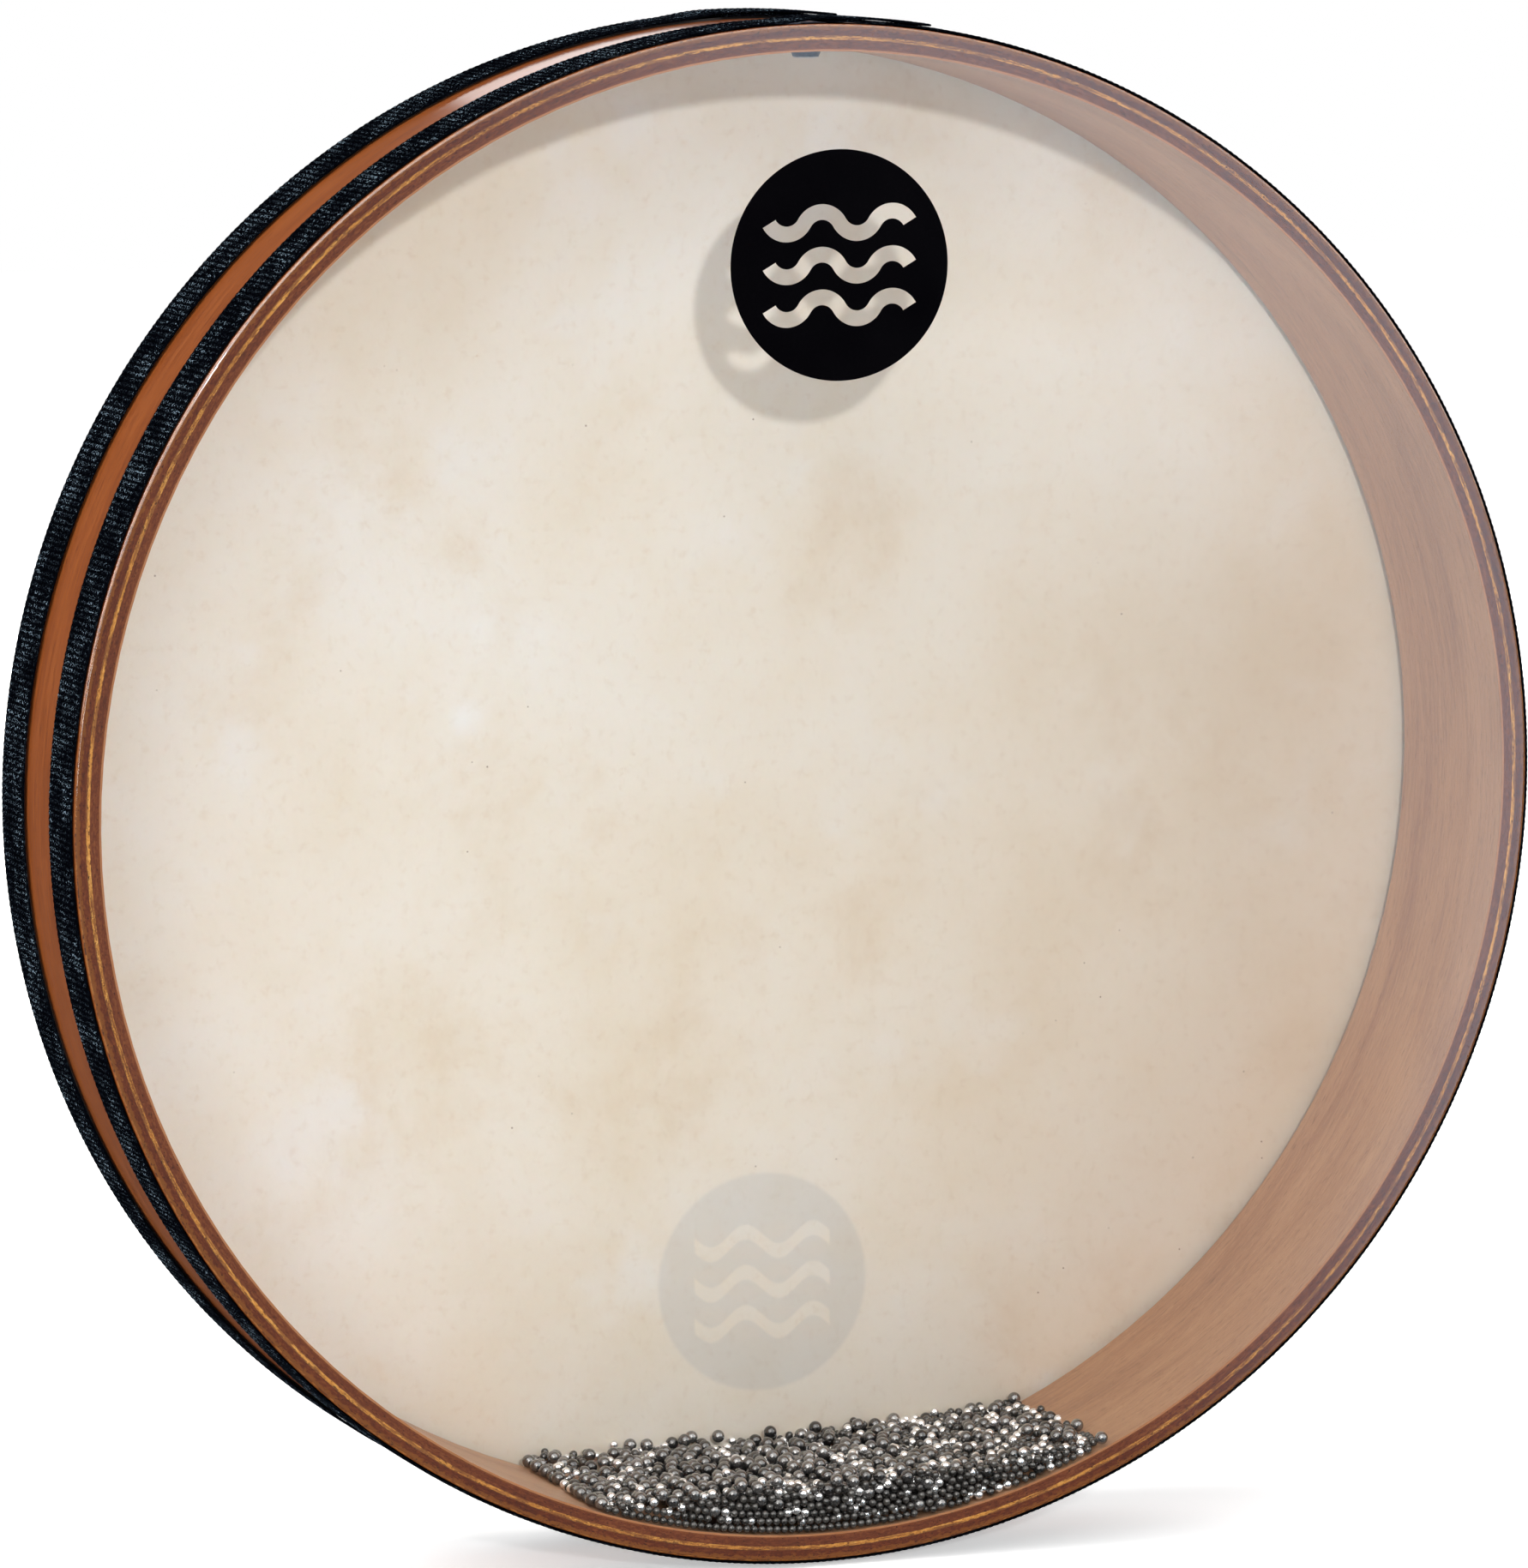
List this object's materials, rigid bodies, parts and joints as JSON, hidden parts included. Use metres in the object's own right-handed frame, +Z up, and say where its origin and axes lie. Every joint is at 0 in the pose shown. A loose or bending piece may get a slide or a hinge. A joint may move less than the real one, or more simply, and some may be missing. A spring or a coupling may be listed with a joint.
{
  "type": "sea drum",
  "caption": "Round sea drum: bent plywood hoop, clear film head in front, goatskin head behind, black edge tapes and loose steel shot that rolls inside",
  "frame": {"origin": "centre of the hoop, on its axis and half way through its depth", "axes": "+Y is the hoop's axis, from the clear head (-Y, front) to the skin head (+Y, back); +Z is up as it stands on its rim with the shot at the bottom; +X is to the right seen from the front"},
  "size_m": [0.4602, 0.0771, 0.4612],
  "materials": {
    "orange_veneer": "gloss",
    "dark_core": "satin",
    "gold_core": "satin",
    "inner_veneer": "satin",
    "film": "gloss",
    "goatskin": "satin",
    "black_tape": "satin",
    "black_print": "gloss",
    "slate_plug": "satin",
    "dark_steel": "gloss",
    "bright_steel": "gloss",
    "grey_steel": "gloss"
  },
  "bodies": {
    "drum": {"outer_veneer": "orange_veneer", "outer_core_ply": "dark_core", "centre_ply": "gold_core", "inner_core_ply": "dark_core", "inner_veneer": "inner_veneer", "clear_head": "film", "skin_head": "goatskin", "front_tape": "black_tape", "back_tape": "black_tape", "filler_plug": "slate_plug", "front_emblem": "black_print", "back_emblem": "black_print"},
    "shot": {"dark_shot": "dark_steel", "bright_shot": "bright_steel", "large_shot": "grey_steel", "shot_core": "dark_steel"}
  },
  "joints": [
    {"name": "shot_roll", "type": "hinge", "parent": "drum", "child": "shot", "pos_m": [0, 0, 0], "axis": [0, 1, 0], "range_deg": [-150, 150]}
  ]
}
